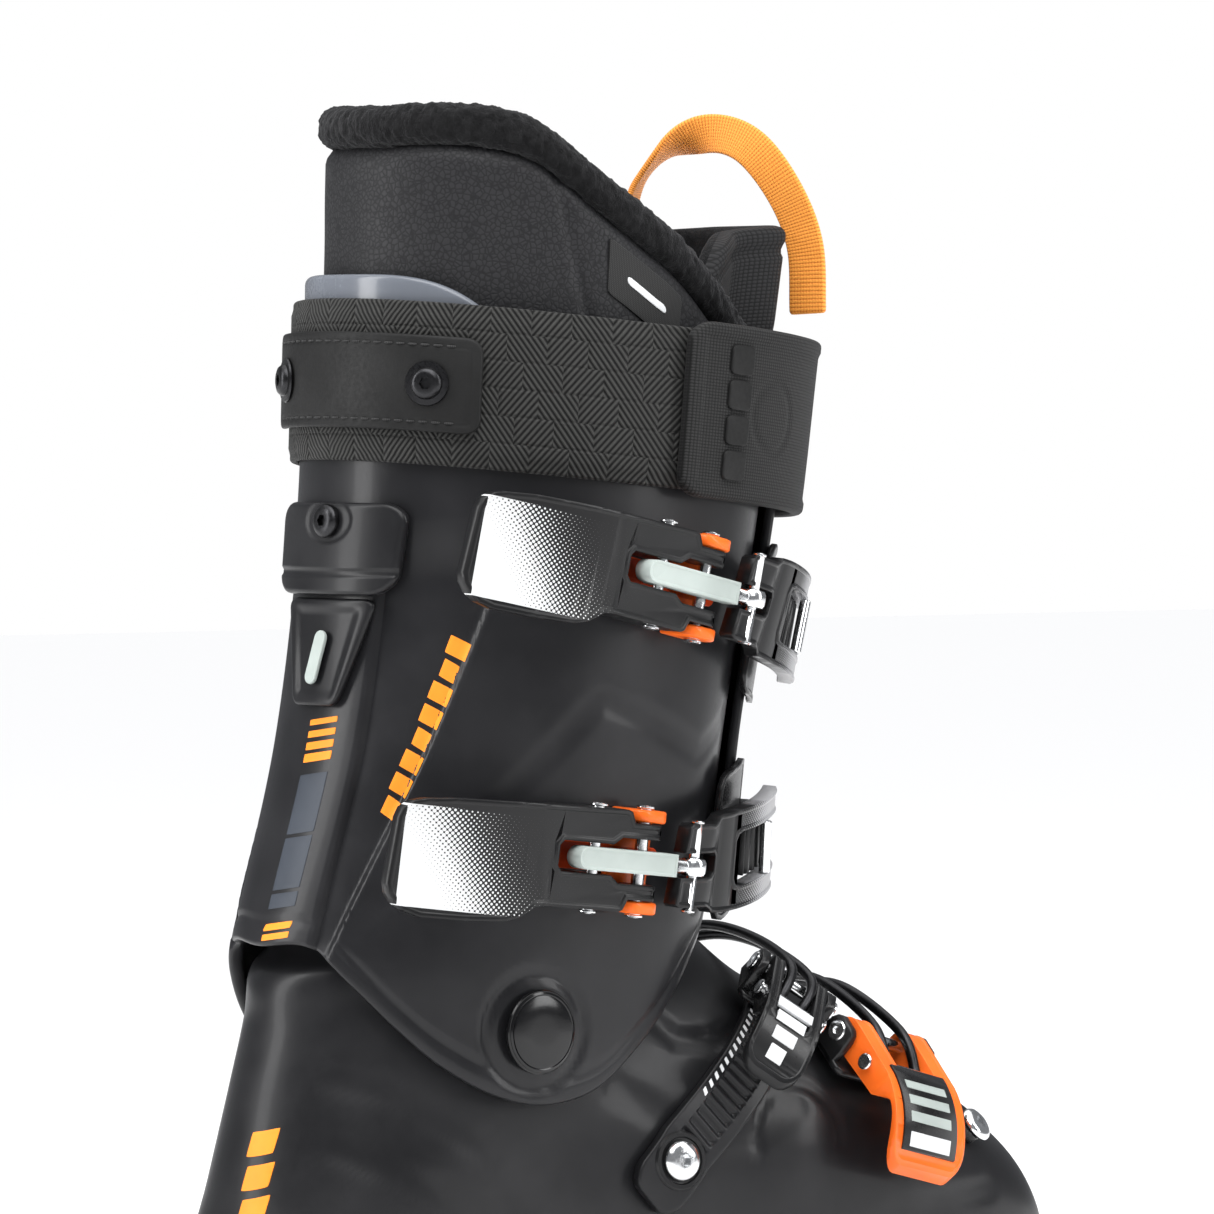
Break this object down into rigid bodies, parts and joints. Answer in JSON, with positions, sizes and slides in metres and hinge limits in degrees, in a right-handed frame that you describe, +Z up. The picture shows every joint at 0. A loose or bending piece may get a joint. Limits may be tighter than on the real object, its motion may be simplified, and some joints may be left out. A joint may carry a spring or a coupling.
{
  "type": "alpine ski boot",
  "caption": "Right alpine ski boot: overlap shell, hinged cuff, lever buckles with bails and forks, power strap, plush liner with tongue and pull loop.",
  "frame": {"origin": "centre of the heel pad's flat bottom, on the floor", "axes": "+X to the toe, +Y to the inner side of the foot, +Z up"},
  "size_m": [0.306, 0.1285, 0.3565],
  "materials": {
    "shell_plastic": "satin moulded",
    "cuff_plastic": "satin moulded",
    "sole_rubber": "matt moulded",
    "black_metal": "black",
    "board_foam": "matt foam",
    "liner_leather": "grained",
    "tongue_fabric": "ballistic weave",
    "fleece": "plush",
    "cap_gloss": "gloss",
    "buckle_black": "satin anodised",
    "silver": "bright",
    "grey_metal": "light grey anodised",
    "orange": "satin orange",
    "collar_plastic": "smooth, blue-grey",
    "webbing": "ribbed webbing",
    "strap_weave": "jacquard weave",
    "plate_rubber": "grained"
  },
  "bodies": {
    "shell": {"lower_shell": "shell_plastic", "toe_sole": "sole_rubber", "heel_sole": "sole_rubber", "toe_sole_screw_medial": "black_metal", "toe_sole_screw_lateral": "black_metal", "heel_sole_screw_medial": "black_metal", "heel_sole_screw_lateral": "black_metal", "boot_board": "board_foam", "liner_foot": "liner_leather", "footbed": "board_foam", "lateral_pivot_bolt": "cap_gloss", "medial_pivot_bolt": "cap_gloss", "instep_ladder": "buckle_black", "instep_anchor_screw": "silver", "instep_base": "buckle_black", "instep_hinge_pin": "silver", "instep_catch": "buckle_black", "toe_base": "buckle_black", "toe_hinge_pin": "silver", "toe_catch": "buckle_black", "toe_band": "buckle_black", "toe_band_screw": "silver"},
    "cuff": {"cuff": "cuff_plastic", "cuff_collar": "collar_plastic", "spine_blade": "buckle_black", "spine_cap": "buckle_black", "spine_insert": "grey_metal", "spine_screw": "black_metal", "power_strap": "strap_weave", "strap_end": "strap_weave", "strap_plate": "plate_rubber", "strap_screw_lateral": "black_metal", "strap_screw_medial": "black_metal", "liner_shaft": "liner_leather", "liner_collar": "fleece", "tongue": "tongue_fabric", "pull_loop": "webbing", "upper_base": "orange", "upper_hinge_pin": "silver", "upper_ladder": "cap_gloss", "lower_base": "orange", "lower_hinge_pin": "silver", "lower_ladder": "cap_gloss"},
    "upper_lever": {"upper_lever": "buckle_black", "upper_bail_pin": "silver"},
    "upper_bail": {"upper_bail": "grey_metal"},
    "upper_rod": {"upper_rod": "silver"},
    "upper_fork": {"upper_fork": "buckle_black", "upper_hook_pin": "silver"},
    "lower_lever": {"lower_lever": "buckle_black", "lower_bail_pin": "silver"},
    "lower_bail": {"lower_bail": "grey_metal"},
    "lower_rod": {"lower_rod": "silver"},
    "lower_fork": {"lower_fork": "buckle_black", "lower_hook_pin": "silver"},
    "instep_lever": {"instep_lever": "buckle_black"},
    "instep_bail": {"instep_bail": "black_metal"},
    "toe_lever": {"toe_lever": "orange"},
    "toe_bail": {"toe_bail": "black_metal"}
  },
  "joints": [
    {"name": "cuff_flex", "type": "hinge", "parent": "shell", "child": "cuff", "pos_m": [0.042, 0, 0.105], "axis": [0, 1, 0], "range_deg": [0, 5], "stiffness_Nm_per_rad": 250},
    {"name": "upper_lever_hinge", "type": "hinge", "parent": "cuff", "child": "upper_lever", "pos_m": [0.089, -0.06024, 0.22473], "axis": [0.2102, -0.0111, 0.9776], "range_deg": [0, 130]},
    {"name": "upper_bail_hinge", "type": "hinge", "parent": "upper_lever", "child": "upper_bail", "pos_m": [0.07081, -0.06493, 0.22858], "axis": [0.2102, -0.0111, 0.9776], "range_deg": [-130, 0]},
    {"name": "upper_micro_adjust", "type": "slide", "parent": "upper_bail", "child": "upper_rod", "axis": [0.9718, 0.1113, -0.2077], "range_m": [0, 0.005]},
    {"name": "upper_fork_hinge", "type": "hinge", "parent": "upper_rod", "child": "upper_fork", "pos_m": [0.10411, -0.06353, 0.22144], "axis": [0.2102, -0.0111, 0.9776], "range_deg": [-19.5, 0]},
    {"name": "lower_lever_hinge", "type": "hinge", "parent": "cuff", "child": "lower_lever", "pos_m": [0.06937, -0.05788, 0.15055], "axis": [0.1069, -0.0512, 0.993], "range_deg": [0, 130]},
    {"name": "lower_bail_hinge", "type": "hinge", "parent": "lower_lever", "child": "lower_bail", "pos_m": [0.05063, -0.06147, 0.15238], "axis": [0.1069, -0.0512, 0.993], "range_deg": [-130, 0]},
    {"name": "lower_micro_adjust", "type": "slide", "parent": "lower_bail", "child": "lower_rod", "axis": [0.9932, 0.0525, -0.1042], "range_m": [0, 0.005]},
    {"name": "lower_fork_hinge", "type": "hinge", "parent": "lower_rod", "child": "lower_fork", "pos_m": [0.0845, -0.06208, 0.1487], "axis": [0.1069, -0.0512, 0.993], "range_deg": [-19.5, 0]},
    {"name": "instep_lever_hinge", "type": "hinge", "parent": "shell", "child": "instep_lever", "pos_m": [0.13546, -0.0426, 0.1129], "axis": [-0.7592, 0.3365, 0.5571], "range_deg": [0, 120]},
    {"name": "instep_bail_hinge", "type": "hinge", "parent": "instep_lever", "child": "instep_bail", "pos_m": [0.12815, -0.05072, 0.10784], "axis": [-0.7592, 0.3365, 0.5571], "range_deg": [-120, 0]},
    {"name": "toe_lever_hinge", "type": "hinge", "parent": "shell", "child": "toe_lever", "pos_m": [0.16661, -0.04377, 0.09573], "axis": [-0.948, -0.2266, 0.2233], "range_deg": [0, 130]},
    {"name": "toe_bail_hinge", "type": "hinge", "parent": "toe_lever", "child": "toe_bail", "pos_m": [0.16699, -0.05299, 0.08799], "axis": [-0.948, -0.2266, 0.2233], "range_deg": [-130, 0]}
  ],
  "couplings": [
    {"joint": "upper_bail_hinge", "follows": "upper_lever_hinge", "ratio": -1},
    {"joint": "upper_fork_hinge", "follows": "upper_lever_hinge", "ratio": -0.15},
    {"joint": "lower_bail_hinge", "follows": "lower_lever_hinge", "ratio": -1},
    {"joint": "lower_fork_hinge", "follows": "lower_lever_hinge", "ratio": -0.15},
    {"joint": "instep_bail_hinge", "follows": "instep_lever_hinge", "ratio": -1},
    {"joint": "toe_bail_hinge", "follows": "toe_lever_hinge", "ratio": -1}
  ]
}
